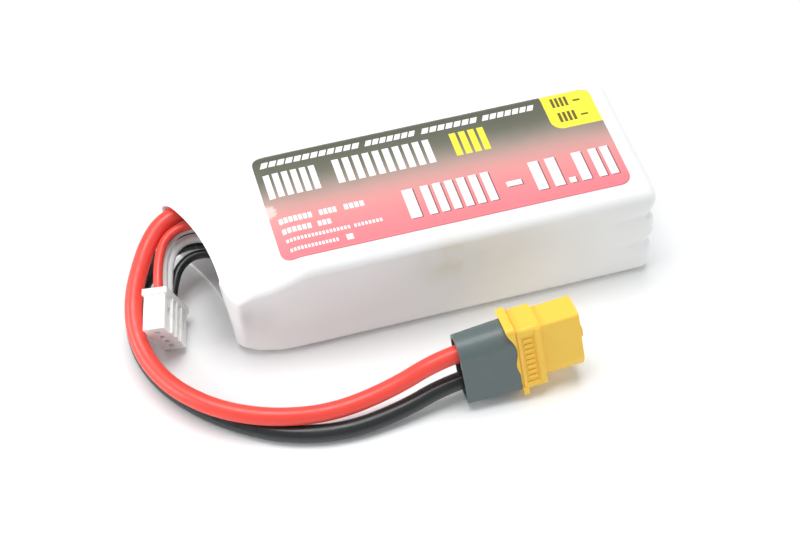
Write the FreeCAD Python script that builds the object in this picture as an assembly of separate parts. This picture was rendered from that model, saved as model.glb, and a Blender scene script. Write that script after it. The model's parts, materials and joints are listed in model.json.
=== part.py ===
import FreeCAD, Part
import math
import os

V = FreeCAD.Vector

# Three-cell lithium polymer pack, lying on its flat side.
# +X is the end away from the leads, +Y the back, +Z up. The origin is the
# middle of the pack's footprint, on the surface that it lies on. Millimetres.

# --- shared allowances ---
OVERRUN = 1.0              # how far a cut runs past the face it opens
LAP = 0.1                  # how far two fused forms reach into each other
TOUCH = 1e-6               # distance taken as zero
HALF_TURN = 180.0          # degrees
VOLUME_TOLERANCE = 0.01    # share by which a tube may miss its section times length

# --- pack and sleeve ---
PACK_WIDTH = 34.0
PACK_HEIGHT = 25.3
FAR_END_X = 49.5
SLEEVE_WALL = 0.4
SLEEVE_CORNER = 3.5
SHOULDER_X = -27.8
LOBE_DEPTH = 2.4
LOBE_ROUND = 2.2
LOBE_SIDE_INSET = 0.3
END_HOLE = (18.0, 13.0)
END_HOLE_CORNER = 4.0

# Sleeve sections from the shoulder to the open mouth. Each one lies in the
# plane x = x0 + y * slope_y + z * slope_z and has four corners (y, z):
# front bottom, back bottom, back top, front top.
HALF_WIDTH = PACK_WIDTH / 2
SLEEVE_SECTIONS = [
    (SHOULDER_X, 0.0, 0.0, (SLEEVE_CORNER, SLEEVE_CORNER, SLEEVE_CORNER, SLEEVE_CORNER),
     [(-HALF_WIDTH, 0.0), (HALF_WIDTH, 0.0), (HALF_WIDTH, PACK_HEIGHT), (-HALF_WIDTH, PACK_HEIGHT)]),
    (-32.0, 0.0, -0.04, (3.3, 3.3, 3.3, 3.3),
     [(-16.9, 0.0), (17.0, 0.0), (17.0, 25.1), (-16.9, 22.2)]),
    (-36.2, 0.0, -0.08, (3.0, 3.0, 3.2, 3.0),
     [(-15.8, 0.0), (16.9, 0.0), (16.7, 24.2), (-15.6, 20.2)]),
    (-40.1, -0.11, -0.11, (1.6, 1.6, 3.6, 1.6),
     [(-14.5, 0.8), (15.9, 0.0), (16.3, 22.0), (-15.0, 16.8)]),
    (-43.2, -0.27, -0.09, (1.6, 1.6, 4.2, 1.6),
     [(-12.5, 0.0), (15.4, 0.0), (15.8, 19.6), (6.0, 19.6)]),
]
MOUTH_CURVE_RADIUS = 41.1
MOUTH_CURVE_CENTRE = (-81.0, -7.9)
MOUTH_CURVE_LEAN = -0.13        # along X for each millimetre of height

# --- label ---
LABEL_X = (-29.6, 45.6)
LABEL_Y = (-13.2, HALF_WIDTH - SLEEVE_CORNER)
LABEL_THICKNESS = 0.12
LABEL_CORNER = 2.7

# --- cells ---
CELL_COUNT = 3
CELL_X = (-28.6, 46.2)
CELL_WIDTH = 32.0
CELL_THICKNESS = 7.7
CELL_GAP = 0.3
CELL_ROUND = 2.6
STACK_BASE_Z = 0.75
POUCH_FILM = 0.16
FILL_CLEARANCE = 0.05
WING_HEIGHT = 3.0
WING_THICKNESS = 0.25
WING_END_INSET = 3.0
TERRACE_LENGTH = 2.2
TERRACE_LAP = 1.6
TERRACE_WIDTH = 30.0
TERRACE_THICKNESS = 0.8
TAB_WIDTH = 8.0
TAB_THICKNESS = 0.2
TAB_OFFSET_Y = 8.0
TAB_TIP_X = -32.9
TAB_ROOT_X = -27.6
SEAL_WIDTH = 10.0
SEAL_THICKNESS = 0.5
SEAL_X = (-30.8, -27.8)
PAD_X = (-20.0, 40.0)
PAD_WIDTH = 24.0
BAND_CENTRES_X = (-14.0, 30.0)
BAND_WIDTH = 12.0
BAND_THICKNESS = 0.1

# --- terminal end ---
BOARD_X = (-32.2, -31.2)
BOARD_Y = (-14.0, 15.8)
BOARD_Z = (2.4, 22.6)
BOARD_CORNER = 1.2
SLOT_MARGIN = 0.3
CARD_X = (-31.1, -30.9)
BEAD_WIDTH = 8.6
BEAD_HEIGHT = 1.2
BEAD_DEPTH = 0.9
BEAD_CORNER = 0.54
FOAM_X = (-37.2, -33.4)
FOAM_Y = (-14.0, -10.0)
FOAM_Z = (1.4, 17.5)
FOAM_CORNER = 1.5
END_PAD_X = (46.3, 47.05)
END_PAD_Y = 13.0
END_PAD_Z = (3.5, 21.5)

# --- leads ---
LEAD_DIAMETER = 3.8
STRAND_DIAMETER = 2.6
WIRE_DIAMETER = 2.0
PAD_FLARE = 0.3
STUB_LENGTH = 1.4
ARC_SHARE = 0.45
ROUTE_POSITIVE = [
    (-33.4, 13.4, 17.0), (-39.8, 13.5, 16.8), (-45.8, 13.6, 16.5), (-50.4, 12.3, 15.7),
    (-53.9, 9.0, 14.2), (-56.6, 5.0, 12.3), (-58.9, 0.8, 10.5), (-60.5, -4.2, 8.6), (-60.9, -10.2, 7.0),
    (-59.4, -17.2, 6.0), (-55.4, -24.6, 5.9), (-48.4, -31.4, 5.9), (-38.6, -36.2, 5.7),
    (-26.6, -37.8, 4.9), (-14.0, -36.9, 7.0), (-3.4, -35.8, 11.8), (3.66, -35.71, 12.59)]
ROUTE_NEGATIVE = [
    (-33.4, 5.4, 8.9), (-38.0, 9.4, 8.8), (-43.8, 12.0, 8.6), (-49.4, 11.6, 7.8),
    (-54.2, 8.8, 6.2), (-58.1, 4.4, 4.5), (-60.4, -1.4, 3.1), (-60.8, -8.8, 2.2),
    (-58.7, -16.8, 1.95), (-54.2, -24.4, 1.95), (-47.0, -31.8, 1.95), (-37.0, -38.2, 1.95),
    (-24.8, -41.0, 1.95), (-12.6, -39.6, 2.6), (-2.7, -37.5, 4.85), (4.36, -37.38, 5.62)]
BALANCE_ROUTES = [
    [(-33.2, 6.2, 16.1), (-37.8, 9.0, 16.0), (-42.8, 10.1, 15.8), (-47.4, 10.1, 15.5),
     (-50.7, 8.0, 15.1), (-52.6, 4.2, 14.4), (-53.7, 0.6, 13.5), (-54.4, -2.8, 12.5),
     (-55.2, -6.1, 11.5)],
    [(-33.2, 1.8, 14.3), (-36.5, 6.9, 13.9), (-40.9, 10.6, 13.4), (-45.8, 11.8, 13.1),
     (-49.4, 9.8, 12.9), (-51.5, 5.8, 12.3), (-52.7, 1.5, 11.4), (-53.5, -2.4, 10.2),
     (-54.3, -5.7, 9.2)],
    [(-33.3, -4.0, 14.8), (-35.6, 2.0, 13.4), (-39.5, 7.5, 12.1), (-44.3, 10.3, 11.5),
     (-48.3, 9.3, 10.9), (-50.6, 5.6, 10.2), (-51.7, 1.5, 9.1), (-52.6, -2.0, 7.9),
     (-53.5, -5.2, 6.9)],
    [(-33.6, -7.9, 9.4), (-34.7, -2.4, 9.9), (-37.3, 3.0, 9.9), (-41.0, 6.6, 9.4),
     (-45.2, 7.7, 8.7), (-48.6, 5.9, 7.8), (-50.5, 2.4, 6.8), (-51.7, -1.2, 5.7),
     (-52.7, -4.7, 4.6)],
]

# --- main connector, in its own frame: X towards the nose, Z up its long side ---
CONNECTOR_POSITION = V(1.2, -38.4, 1.0)
CONNECTOR_PITCH = 5.7
CONNECTOR_ROLL = -13.4
CONNECTOR_HEIGHT = 16.0
CONNECTOR_WIDTH = 8.1
POLE_HEIGHTS = (4.4, 11.6)
CAP_LENGTH = 11.6
CAP_WALL = 0.75
CAP_REAR_WIDTH = 7.7
CAP_REAR_HEIGHT = 15.2
CAP_FRONT_CORNER = 3.7
CAP_REAR_CORNER = 3.8
CAP_BOTTOM_CORNER = 0.9
CAP_FRONT_WAVE = [(11.2, -1.5), (11.4, 0.0), (11.8, 2.3), (11.55, 4.7), (11.1, 7.1), (11.6, 10.0),
                  (11.6, 11.7), (10.85, 14.0), (10.15, 15.5), (10.0, 17.5)]    # (u, height)
CAP_JOINT_GAP = 0.05
SPIGOT_START = 6.4
SPIGOT_CLEARANCE = 0.12
SPIGOT_CORNERS = (0.8, 0.8, 2.6, 2.6)
SPIGOT_END_GAP = 0.2
COLLAR_END = 11.75
COLLAR_PROUD = 0.15
COLLAR_TOP = 0.8
GROOVE_END = 12.15
GROOVE_DEPTH = 0.25
FOOT_U = (11.8, 12.95)
FOOT_DROP = 1.2
FLANGE_END = 17.0
FLANGE_CORNER = 0.8
NOSE_END = 25.5
NOSE_WIDTH = 6.9
NOSE_Z = (0.7, 15.3)
NOSE_BEVEL = (1.56, 2.6)
NOSE_CORNER = 0.6
PANEL_U = (12.8, 15.6)
PANEL_W = (1.8, 14.2)
PANEL_DEPTH = 0.3
GRIP_RIB_COUNT = 8
GRIP_PITCH = 1.4
GRIP_HEIGHT = 0.6
GRIP_U = (13.3, 15.1)
BAND_U = (15.9, 17.0)
BAND_PROUD = 0.2
BAND_INSET = 0.3
NUB_SIZE = (1.0, 1.6, 2.2)
SOCKET_DIAMETER = 4.4
SOCKET_BORE = 3.5
SOCKET_END = 24.6
BORE_START = 13.0
CUP_BORE = 3.2
CUP_START = 4.6
CUP_FLOOR = 10.6
CUP_SOLDER_START = 4.8
MOUTH_DIAMETER = 4.0
INSULATION_END = 3.6
STRAND_END = 10.2

# --- balance plug, in its own frame: X towards the mating end, Z up the pin row ---
PLUG_POSITION = V(-55.2, -3.7, 14.6)
PLUG_MATING_AXIS = V(-0.251, -0.927, -0.279)
PLUG_SIDE_AXIS = V(0.908, -0.325, 0.263)
PLUG_LENGTH = 9.0
PLUG_THICKNESS = 4.8
PLUG_HEIGHT = 12.3
PLUG_CORNER = 0.3
LIP_LENGTH = 1.3
LIP_PROUD = 0.35
PIN_PITCH = 2.5
PIN_COUNT = 4
FIRST_PIN_DEPTH = 2.4
WIRE_HOLE = 2.15
WIRE_HOLE_DEPTH = 3.1
CAVITY = 1.9
CAVITY_END = 8.3
PIN_HOLE = 1.1
LATCH_WINDOW = (3.6, 5.6, 1.3)
RIB_DEPTH = 0.45
RIB_WIDTH = 0.8
CONTACT_LENGTH = 5.0
CONTACT_SIZE = 1.7
CONTACT_BORE = 1.0
CONTACT_CRIMP = 1.2


def export(shape, node):
    """Writes one node, after checking that it is sound."""
    assert shape.isValid(), node
    assert shape.Volume > 0.0, node
    shape.exportStep("parts/" + node + ".step")
    print(node, len(shape.Solids), round(shape.Volume, 2))


def group(solids):
    """Several separate solids as one node."""
    return Part.makeCompound(solids)


def rounded_outline(corners, radius, place):
    """Closed wire round a convex outline. place turns (a, b) into a point.

    radius is one number for every corner, or a tuple with one for each.
    """
    edges = []
    starts = []
    ends = []
    middles = []
    count = len(corners)
    radii = radius if isinstance(radius, tuple) else (radius,) * count
    for i in range(count):
        before = V(*corners[i - 1], 0)
        corner = V(*corners[i], 0)
        after = V(*corners[(i + 1) % count], 0)
        back = (before - corner).normalize()
        ahead = (after - corner).normalize()
        half = back.getAngle(ahead) / 2
        tangent = radii[i] / math.tan(half)
        bisector = (back + ahead).normalize()
        starts.append(corner + back * tangent)
        ends.append(corner + ahead * tangent)
        middles.append(corner + bisector * (radii[i] / math.sin(half) - radii[i]))
    for i in range(count):
        arc = [place(p.x, p.y) for p in (starts[i], middles[i], ends[i])]
        edges.append(Part.Arc(*arc).toShape())
        following = starts[(i + 1) % count]
        edges.append(Part.LineSegment(arc[2], place(following.x, following.y)).toShape())
    return Part.Wire(edges)


def inset_corners(corners, inset):
    """The corners of a convex anticlockwise outline, moved in by inset."""
    count = len(corners)
    moved = []
    for i in range(count):
        before = V(*corners[i - 1], 0)
        corner = V(*corners[i], 0)
        after = V(*corners[(i + 1) % count], 0)
        back = (before - corner).normalize()
        ahead = (after - corner).normalize()
        half = back.getAngle(ahead) / 2
        bisector = (back + ahead).normalize()
        point = corner + bisector * (inset / math.sin(half))
        moved.append((point.x, point.y))
    return moved


def rectangle(a_range, b_range):
    """Corners of a rectangle, anticlockwise."""
    return [(a_range[0], b_range[0]), (a_range[1], b_range[0]),
            (a_range[1], b_range[1]), (a_range[0], b_range[1])]


def prism_x(corners, radius, x_range):
    """Rounded (y, z) outline drawn out along X."""
    wire = rounded_outline(corners, radius, lambda y, z: V(x_range[0], y, z))
    return Part.Face(wire).extrude(V(x_range[1] - x_range[0], 0, 0))


def prism_z(corners, radius, z_range):
    """Rounded (x, y) outline drawn out along Z."""
    wire = rounded_outline(corners, radius, lambda x, y: V(x, y, z_range[0]))
    return Part.Face(wire).extrude(V(0, 0, z_range[1] - z_range[0]))


def box(x_range, y_range, z_range):
    """Plain block between two corners."""
    size = [r[1] - r[0] for r in (x_range, y_range, z_range)]
    return Part.makeBox(*size, V(x_range[0], y_range[0], z_range[0]))


def centred(middle, width):
    """Range of the given width about a middle."""
    return (middle - width / 2, middle + width / 2)


# --- sleeve and label ---
def sleeve_section(x0, slope_y, slope_z, radii, corners, inset):
    """One closed section of the sleeve, moved in by inset."""
    def place(y, z):
        return V(x0 + y * slope_y + z * slope_z, y, z)
    inset_radii = tuple(radius - inset for radius in radii)
    return rounded_outline(inset_corners(corners, inset), inset_radii, place)


def sleeve_terminal_end(inset, overrun):
    """Solid from the shoulder to the mouth; overrun lengthens it past the mouth."""
    wires = [sleeve_section(*section, inset) for section in SLEEVE_SECTIONS]
    if overrun:
        x0, slope_y, slope_z, radii, corners = SLEEVE_SECTIONS[-1]
        wires.append(sleeve_section(x0 - overrun, slope_y, slope_z, radii, corners, inset))
    return Part.makeLoft(wires, True, True)


def sleeve_lobe(index, inset):
    """Round end of the sleeve over one cell."""
    height = PACK_HEIGHT / CELL_COUNT
    side = HALF_WIDTH - LOBE_SIDE_INSET - inset
    z_range = (index * height + inset, (index + 1) * height - inset)
    start = FAR_END_X - LOBE_DEPTH - LOBE_ROUND
    lobe = box((start, FAR_END_X - inset), (-side, side), z_range)
    end_x = FAR_END_X - inset
    rim = [e for e in lobe.Edges if abs(e.CenterOfMass.x - end_x) < TOUCH]
    rounded = lobe.makeFillet(LOBE_ROUND - inset, rim)
    corners = inset_corners(rectangle((-HALF_WIDTH, HALF_WIDTH), (0.0, PACK_HEIGHT)), inset)
    return rounded.common(prism_x(corners, SLEEVE_CORNER - inset, (start, end_x)))


def sleeve_body(inset, overrun):
    """Whole outer form of the sleeve, or its hollow when inset."""
    corners = inset_corners(rectangle((-HALF_WIDTH, HALF_WIDTH), (0.0, PACK_HEIGHT)), inset)
    middle = prism_x(corners, SLEEVE_CORNER - inset, (SHOULDER_X, FAR_END_X - LOBE_DEPTH))
    lobes = [sleeve_lobe(i, inset) for i in range(CELL_COUNT)]
    return middle.fuse([sleeve_terminal_end(inset, overrun)] + lobes).removeSplitter()


def mouth_curve():
    """Leaning drum that gives the mouth's rim its inward curve."""
    lean = V(MOUTH_CURVE_LEAN, 0, 1)
    centre = V(*MOUTH_CURVE_CENTRE, 0) - lean * OVERRUN
    drum = Part.makeCylinder(MOUTH_CURVE_RADIUS, lean.Length * (PACK_HEIGHT + 2 * OVERRUN), centre, lean)
    drum.rotate(centre, lean, HALF_TURN)    # keeps the drum's seam away from the sleeve
    return drum


def shrink_sleeve():
    """Thin shrunk sleeve, open at the mouth and with a hole left at the far end."""
    hollow = sleeve_body(SLEEVE_WALL, OVERRUN)
    hole = prism_x(rectangle(centred(0.0, END_HOLE[0]), centred(PACK_HEIGHT / 2, END_HOLE[1])),
                   END_HOLE_CORNER, (FAR_END_X - LOBE_DEPTH, FAR_END_X + OVERRUN))
    return sleeve_body(0.0, 0.0).cut([hollow, hole, mouth_curve()])


def top_label():
    """Printed film on the flat top."""
    return prism_z(rectangle(LABEL_X, LABEL_Y), LABEL_CORNER,
                   (PACK_HEIGHT, PACK_HEIGHT + LABEL_THICKNESS))


# --- cells ---
def cell_base(index):
    """Height of a cell's underside."""
    return STACK_BASE_Z + index * (CELL_THICKNESS + CELL_GAP)


def cell_block(index, inset):
    """Cushion-edged block of one cell, moved in by inset."""
    z_range = (cell_base(index) + inset, cell_base(index) + CELL_THICKNESS - inset)
    x_range = (CELL_X[0] + inset, CELL_X[1] - inset)
    side = CELL_WIDTH / 2 - inset
    block = box(x_range, (-side, side), z_range)
    return block.makeFillet(CELL_ROUND - inset, block.Edges)


def tab_block(index, side, width, thickness, x_range):
    """Flat strip at a tab's place. side is 1 at the back and -1 at the front."""
    middle_z = cell_base(index) + CELL_THICKNESS / 2
    return box(x_range, centred(side * TAB_OFFSET_Y, width), centred(middle_z, thickness))


def tab(index, side):
    """Metal tab of one pole."""
    return tab_block(index, side, TAB_WIDTH, TAB_THICKNESS, (TAB_TIP_X, TAB_ROOT_X))


def tab_seal(index, side):
    """Film sealed round a tab where it crosses the pouch's edge."""
    film = tab_block(index, side, SEAL_WIDTH, SEAL_THICKNESS, SEAL_X)
    return film.cut(tab(index, side))


def electrode_stack(index):
    """Wound electrodes that fill the pouch, notched for the tabs' roots."""
    block = cell_block(index, POUCH_FILM + FILL_CLEARANCE)
    roots = [tab_block(index, s, SEAL_WIDTH, SEAL_THICKNESS, (TAB_TIP_X, TAB_ROOT_X)) for s in (-1, 1)]
    return block.cut(roots)


def cell_pouch(index):
    """Laminate pouch with its sealed terrace and folded side wings."""
    middle_z = cell_base(index) + CELL_THICKNESS / 2
    terrace = box((CELL_X[0] - TERRACE_LENGTH, CELL_X[0] + TERRACE_LAP),
                  centred(0.0, TERRACE_WIDTH), centred(middle_z, TERRACE_THICKNESS))
    wings = []
    for side in (-1, 1):
        middle_y = side * (CELL_WIDTH + WING_THICKNESS) / 2
        wings.append(box((CELL_X[0] + WING_END_INSET, CELL_X[1] - WING_END_INSET),
                         centred(middle_y, WING_THICKNESS), centred(middle_z, WING_HEIGHT)))
    shell = cell_block(index, 0.0).fuse([terrace] + wings)
    slots = [tab_block(index, s, SEAL_WIDTH, SEAL_THICKNESS, (TAB_TIP_X, CELL_X[0] + TERRACE_LAP))
             for s in (-1, 1)]
    return shell.cut([cell_block(index, POUCH_FILM)] + slots)


def adhesive_pad(index):
    """Double-sided pad between two cells."""
    base = cell_base(index) + CELL_THICKNESS
    return box(PAD_X, centred(0.0, PAD_WIDTH), (base, base + CELL_GAP))


def tape_band(middle_x):
    """Loop of tape round the three cells."""
    side = CELL_WIDTH / 2 + WING_THICKNESS
    z_range = (cell_base(0), cell_base(CELL_COUNT - 1) + CELL_THICKNESS)
    corners = rectangle((-side, side), z_range)
    x_range = centred(middle_x, BAND_WIDTH)
    outer = prism_x(inset_corners(corners, -BAND_THICKNESS), CELL_ROUND + BAND_THICKNESS, x_range)
    return outer.cut(prism_x(corners, CELL_ROUND, x_range))


# --- terminal end ---
def slotted_plate(x_range, margin):
    """Upright plate with a slot for each tab."""
    plate = prism_x(rectangle(BOARD_Y, BOARD_Z), BOARD_CORNER, x_range)
    slots = []
    for index in range(CELL_COUNT):
        for side in (-1, 1):
            slots.append(tab_block(index, side, TAB_WIDTH + margin, TAB_THICKNESS + margin,
                                   (x_range[0] - OVERRUN, x_range[1] + OVERRUN)))
    return plate.cut(slots)


def tab_solder(index, side):
    """Bead of solder round a tab's tip, on the board's outer face."""
    middle_z = cell_base(index) + CELL_THICKNESS / 2
    bead = prism_x(rectangle(centred(side * TAB_OFFSET_Y, BEAD_WIDTH), centred(middle_z, BEAD_HEIGHT)),
                   BEAD_CORNER, (BOARD_X[0] - BEAD_DEPTH, BOARD_X[0]))
    return bead.cut(tab(index, side))


def solder_cone(start, diameter):
    """Cone of solder between the board and the end of a lead."""
    foot = V(BOARD_X[0], start[1], start[2])
    height = BOARD_X[0] - start[0]
    return Part.makeCone(diameter / 2 + PAD_FLARE, diameter / 2, height, foot, V(-1, 0, 0))


def balance_solder(route):
    """Solder between the board and the end of a wire that leaves it sideways."""
    start = V(*route[0])
    backwards = (start - V(*route[1])).normalize()
    stub = Part.makeCylinder(WIRE_DIAMETER / 2, STUB_LENGTH, start, backwards)
    middle = start + backwards * (STUB_LENGTH / 2)
    foot = V(BOARD_X[0], middle.y, middle.z)
    pillar = Part.makeCone(WIRE_DIAMETER / 2 + PAD_FLARE, STUB_LENGTH / 2, foot.x - middle.x,
                           foot, V(-1, 0, 0))
    behind = box((BOARD_X[0], BOARD_X[0] + 2 * WIRE_DIAMETER), BOARD_Y, BOARD_Z)
    return stub.fuse(pillar).cut(behind)


def terminal_foam():
    """Foam block that fills the front corner beside the board."""
    corners = rectangle(FOAM_X, FOAM_Y)
    return prism_z(corners, FOAM_CORNER, FOAM_Z)


# --- leads ---
def route_path(points):
    """Straight runs joined by tangent arcs, and the arcs' radii."""
    stations = [V(*p) for p in points]
    edges = []
    radii = []
    current = stations[0]
    for i in range(1, len(stations) - 1):
        back = stations[i - 1] - stations[i]
        ahead = stations[i + 1] - stations[i]
        reach = ARC_SHARE * min(back.Length, ahead.Length)
        half_turn = (math.pi - back.getAngle(ahead)) / 2
        radius = reach / math.tan(half_turn)
        start = stations[i] + back.normalize() * reach
        end = stations[i] + ahead.normalize() * reach
        inward = (back + ahead).normalize()
        middle = stations[i] + inward * (radius / math.cos(half_turn) - radius)
        edges.append(Part.LineSegment(current, start).toShape())
        edges.append(Part.Arc(start, middle, end).toShape())
        radii.append(round(radius, 1))
        current = end
    edges.append(Part.LineSegment(current, stations[-1]).toShape())
    return Part.Wire(edges), radii


def cord_tube(points, diameter, name):
    """Round tube along a route, with its volume held against its length."""
    path, radii = route_path(points)
    direction = V(*points[1]) - V(*points[0])
    ring = Part.Wire(Part.makeCircle(diameter / 2, V(*points[0]), direction))
    tube = path.makePipeShell([ring], True, False)
    expected = math.pi * diameter ** 2 / 4 * path.Length
    assert abs(tube.Volume / expected - 1) < VOLUME_TOLERANCE, name
    print(name, "length", round(path.Length, 1), "radii", radii)
    return tube


# --- main connector ---
def in_connector_place(shape):
    """Moves a shape from the connector's own frame to where it lies."""
    pitch = FreeCAD.Rotation(V(0, 1, 0), -CONNECTOR_PITCH)
    roll = FreeCAD.Rotation(V(1, 0, 0), CONNECTOR_ROLL)
    placed = shape.copy()
    placed.Placement = FreeCAD.Placement(CONNECTOR_POSITION, pitch.multiply(roll))
    return placed


def connector_rod(diameter, u_range, height):
    """Round bar along the connector's axis at one pole's height."""
    return Part.makeCylinder(diameter / 2, u_range[1] - u_range[0], V(u_range[0], 0, height), V(1, 0, 0))


def cap_section(u, width, height, top_corner, inset):
    """Closed outline of the rear cap at distance u from its rear."""
    corners = rectangle(centred(0.0, width), centred(CONNECTOR_HEIGHT / 2, height))
    radii = (CAP_BOTTOM_CORNER - inset, CAP_BOTTOM_CORNER - inset, top_corner - inset, top_corner - inset)
    return rounded_outline(inset_corners(corners, inset), radii, lambda y, z: V(u, y, z))


def cap_form(inset, overrun):
    """Tapering outer form of the cap, or its hollow when inset."""
    rear = cap_section(-overrun, CAP_REAR_WIDTH, CAP_REAR_HEIGHT, CAP_REAR_CORNER, inset)
    front = cap_section(CAP_LENGTH + overrun, CONNECTOR_WIDTH, CONNECTOR_HEIGHT,
                        CAP_FRONT_CORNER, inset)
    return Part.makeLoft([rear, front], True, True)


def ahead_of_cap(shift):
    """Block in front of the cap's wavy front edge, moved forward by shift."""
    wave = [V(u + shift, -CONNECTOR_WIDTH, w) for u, w in CAP_FRONT_WAVE]
    curve = Part.BSplineCurve()
    curve.interpolate(wave)
    low = V(NOSE_END, -CONNECTOR_WIDTH, wave[0].z)
    high = V(NOSE_END, -CONNECTOR_WIDTH, wave[-1].z)
    sides = [Part.LineSegment(*ends).toShape() for ends in ((wave[-1], high), (high, low), (low, wave[0]))]
    outline = Part.Wire([curve.toShape()] + sides)
    return Part.Face(outline).extrude(V(0, 2 * CONNECTOR_WIDTH, 0))


def connector_rear_cap():
    """Grey cap over the solder cups, open right through for the leads."""
    return cap_form(0.0, 0.0).cut([cap_form(CAP_WALL, OVERRUN), ahead_of_cap(0.0)])


def nose_corners():
    """Outline of the nose: square at the positive end, bevelled at the negative end."""
    half = NOSE_WIDTH / 2
    low, high = NOSE_Z
    bevel_y = half - NOSE_BEVEL[0]
    bevel_z = low + NOSE_BEVEL[1]
    return [(-bevel_y, low), (bevel_y, low), (half, bevel_z), (half, high), (-half, high),
            (-half, bevel_z)]


def connector_block(width, height_range, corner, u_range):
    """Block along the connector's axis, centred on its width."""
    return prism_x(rectangle(centred(0.0, width), height_range), corner, u_range)


def housing_spigot():
    """Part of the housing that goes into the cap."""
    inset = CAP_WALL + SPIGOT_CLEARANCE + (CONNECTOR_WIDTH - CAP_REAR_WIDTH) / 2
    height = CONNECTOR_HEIGHT - 2 * (inset + SPIGOT_END_GAP)
    return connector_block(CONNECTOR_WIDTH - 2 * inset, centred(CONNECTOR_HEIGHT / 2, height),
                           SPIGOT_CORNERS, (SPIGOT_START, GROOVE_END))


def housing_collar():
    """Collar that meets the cap's wavy edge, the groove ahead of it and the foot under it."""
    collar = connector_block(CONNECTOR_WIDTH + 2 * COLLAR_PROUD, (0.0, CONNECTOR_HEIGHT + COLLAR_TOP),
                             FLANGE_CORNER, (SPIGOT_START, COLLAR_END))
    neck = connector_block(CONNECTOR_WIDTH - 2 * GROOVE_DEPTH,
                           (GROOVE_DEPTH, CONNECTOR_HEIGHT - GROOVE_DEPTH), FLANGE_CORNER,
                           (COLLAR_END - LAP, GROOVE_END + LAP))
    foot = box(FOOT_U, centred(0.0, CONNECTOR_WIDTH), (-FOOT_DROP, FLANGE_CORNER))
    return collar.common(ahead_of_cap(CAP_JOINT_GAP)).fuse([neck, foot])


def grip_panels():
    """Blocks to take out of both broad sides of the flange, with the ribs left standing."""
    panels = []
    outer = CONNECTOR_WIDTH / 2 + OVERRUN
    floor = CONNECTOR_WIDTH / 2 - PANEL_DEPTH
    first = CONNECTOR_HEIGHT / 2 - GRIP_PITCH * (GRIP_RIB_COUNT - 1) / 2
    for y_range in ((-outer, -floor), (floor, outer)):
        panel = box(PANEL_U, y_range, PANEL_W)
        ribs = [box(GRIP_U, centred(0.0, CONNECTOR_WIDTH), centred(first + i * GRIP_PITCH, GRIP_HEIGHT))
                for i in range(GRIP_RIB_COUNT)]
        panels.append(panel.cut(ribs))
    return panels


def main_connector_housing():
    """Yellow housing: rear spigot, collar, flange with grip ribs, keyed nose and two bores."""
    middle = CONNECTOR_HEIGHT / 2
    flange = connector_block(CONNECTOR_WIDTH, (0.0, CONNECTOR_HEIGHT), FLANGE_CORNER,
                             (GROOVE_END, FLANGE_END)).cut(grip_panels())
    band = connector_block(CONNECTOR_WIDTH + 2 * BAND_PROUD,
                           (BAND_INSET, CONNECTOR_HEIGHT - BAND_INSET), FLANGE_CORNER, BAND_U)
    nose = prism_x(nose_corners(), NOSE_CORNER, (FLANGE_END - OVERRUN, NOSE_END))
    nub = box((NOSE_END - LAP, NOSE_END + NUB_SIZE[0]), centred(0.0, NUB_SIZE[1]),
              centred(middle, NUB_SIZE[2]))
    bores = []
    for height in POLE_HEIGHTS:
        bores.append(connector_rod(SOCKET_DIAMETER, (SPIGOT_START - OVERRUN, SOCKET_END), height))
        bores.append(connector_rod(MOUTH_DIAMETER, (SOCKET_END - OVERRUN, NOSE_END + OVERRUN), height))
    solid = housing_spigot().fuse([housing_collar(), flange, band, nose, nub])
    return solid.removeSplitter().cut(bores)


def socket(height):
    """Round socket with a bore for the pin in front and a solder cup behind."""
    body = connector_rod(SOCKET_DIAMETER, (CUP_START, SOCKET_END), height)
    return body.cut([connector_rod(SOCKET_BORE, (BORE_START, SOCKET_END + OVERRUN), height),
                     connector_rod(CUP_BORE, (CUP_START - OVERRUN, CUP_FLOOR), height)])


def lead_strands(height):
    """Bared copper strands from the insulation into the cup."""
    return connector_rod(STRAND_DIAMETER, (INSULATION_END, STRAND_END), height)


def cup_solder(height):
    """Solder between the strands and the cup's wall."""
    ring = connector_rod(CUP_BORE, (CUP_SOLDER_START, CUP_FLOOR), height)
    return ring.cut(lead_strands(height))


# --- balance plug ---
def in_plug_place(shape):
    """Moves a shape from the plug's own frame to where it lies."""
    up = PLUG_MATING_AXIS.cross(PLUG_SIDE_AXIS)
    placed = shape.copy()
    placed.Placement = FreeCAD.Placement(
        PLUG_POSITION, FreeCAD.Rotation(PLUG_MATING_AXIS, PLUG_SIDE_AXIS, up, "XYZ"))
    return placed


def pin_height(index):
    """Height of a pin in the plug's frame; the first is nearest the top."""
    return -FIRST_PIN_DEPTH - index * PIN_PITCH


def plug_channel(size, u_range, height):
    """Square channel along the plug."""
    return box(u_range, centred(0.0, size), centred(height, size))


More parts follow.
